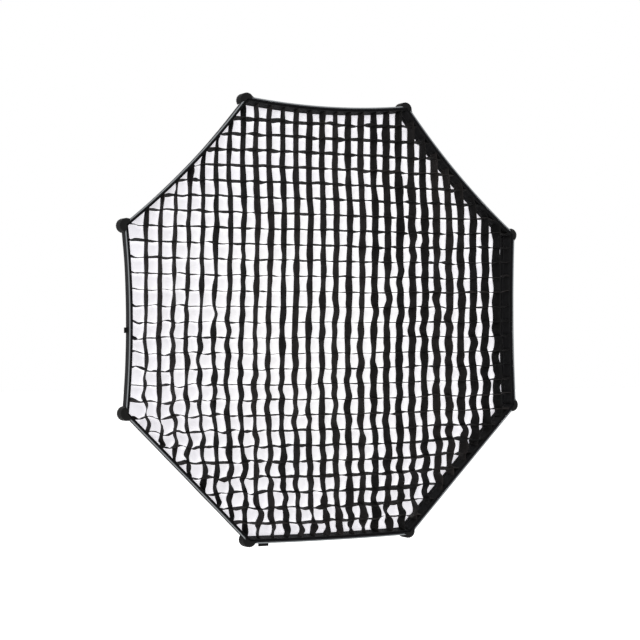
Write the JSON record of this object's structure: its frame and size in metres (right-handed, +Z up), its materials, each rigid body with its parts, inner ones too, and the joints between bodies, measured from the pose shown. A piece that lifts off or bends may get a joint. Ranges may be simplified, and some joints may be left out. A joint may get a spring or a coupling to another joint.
{
  "type": "softbox egg-crate grid",
  "caption": "Octagonal fabric egg-crate grid held by hook and loop in a softbox's front rim, with the white diffuser behind it.",
  "frame": {"origin": "centre of the whole part: the middle of the octagon, half-way between the front of the corner pockets and the back of the lip", "axes": "+Z up, the front of the grid faces -Y, +X to the right as seen from the front"},
  "size_m": [1.2278, 0.056, 1.2278],
  "materials": {
    "strip_cloth": "matte",
    "border_cloth": "matte",
    "rim_cloth": "matte",
    "piping_cloth": "satin",
    "pocket_webbing": "matte",
    "cup_plastic": "matte",
    "hook_tape": "matte",
    "loop_tape": "matte",
    "diffuser_cloth": "matte",
    "tab_webbing": "matte"
  },
  "bodies": {
    "rim": {"rim_panel_right": "rim_cloth", "rim_panel_upper_right": "rim_cloth", "rim_panel_top": "rim_cloth", "rim_panel_upper_left": "rim_cloth", "rim_panel_left": "rim_cloth", "rim_panel_lower_left": "rim_cloth", "rim_panel_bottom": "rim_cloth", "rim_panel_lower_right": "rim_cloth", "rim_piping": "piping_cloth", "corner_pockets": "pocket_webbing", "rib_cups": "cup_plastic", "grid_hook_tape": "hook_tape", "diffuser_hook_tape": "hook_tape"},
    "diffuser": {"diffuser_panel": "diffuser_cloth", "diffuser_hem": "border_cloth"},
    "grid": {"grid_border": "border_cloth", "grid_loop_tape": "loop_tape", "upright_strips_01": "strip_cloth", "upright_strips_02": "strip_cloth", "upright_strips_03": "strip_cloth", "upright_strips_04": "strip_cloth", "upright_strips_05": "strip_cloth", "upright_strips_06": "strip_cloth", "upright_strips_07": "strip_cloth", "upright_strips_08": "strip_cloth", "upright_strips_09": "strip_cloth", "upright_strips_10": "strip_cloth", "upright_strips_11": "strip_cloth", "upright_strips_12": "strip_cloth", "upright_strips_13": "strip_cloth", "upright_strips_14": "strip_cloth", "cross_strips_00": "strip_cloth", "cross_strips_01": "strip_cloth", "cross_strips_02": "strip_cloth", "cross_strips_03": "strip_cloth", "cross_strips_04": "strip_cloth", "cross_strips_05": "strip_cloth", "cross_strips_06": "strip_cloth", "cross_strips_07": "strip_cloth", "cross_strips_08": "strip_cloth", "cross_strips_09": "strip_cloth", "cross_strips_10": "strip_cloth", "cross_strips_11": "strip_cloth", "cross_strips_12": "strip_cloth", "cross_strips_13": "strip_cloth"},
    "bottom_loop": {"bottom_tab": "tab_webbing"},
    "side_loop": {"side_tab": "tab_webbing"}
  },
  "joints": [
    {"name": "diffuser_pull_off", "type": "slide", "parent": "rim", "child": "diffuser", "axis": [0, -1, 0], "range_m": [0, 0.25]},
    {"name": "grid_pull_off", "type": "slide", "parent": "diffuser", "child": "grid", "axis": [0, -1, 0], "range_m": [0, 0.25]},
    {"name": "bottom_tab_bend", "type": "hinge", "parent": "rim", "child": "bottom_loop", "pos_m": [-0.20004, -0.008, -0.59772], "axis": [0.9991, 0, 0.0429], "range_deg": [-60, 60], "stiffness_Nm_per_rad": 0.002},
    {"name": "side_tab_bend", "type": "hinge", "parent": "rim", "child": "side_loop", "pos_m": [-0.59159, 0.002, -0.028], "axis": [0, 0, -1], "range_deg": [-60, 60], "stiffness_Nm_per_rad": 0.002}
  ]
}
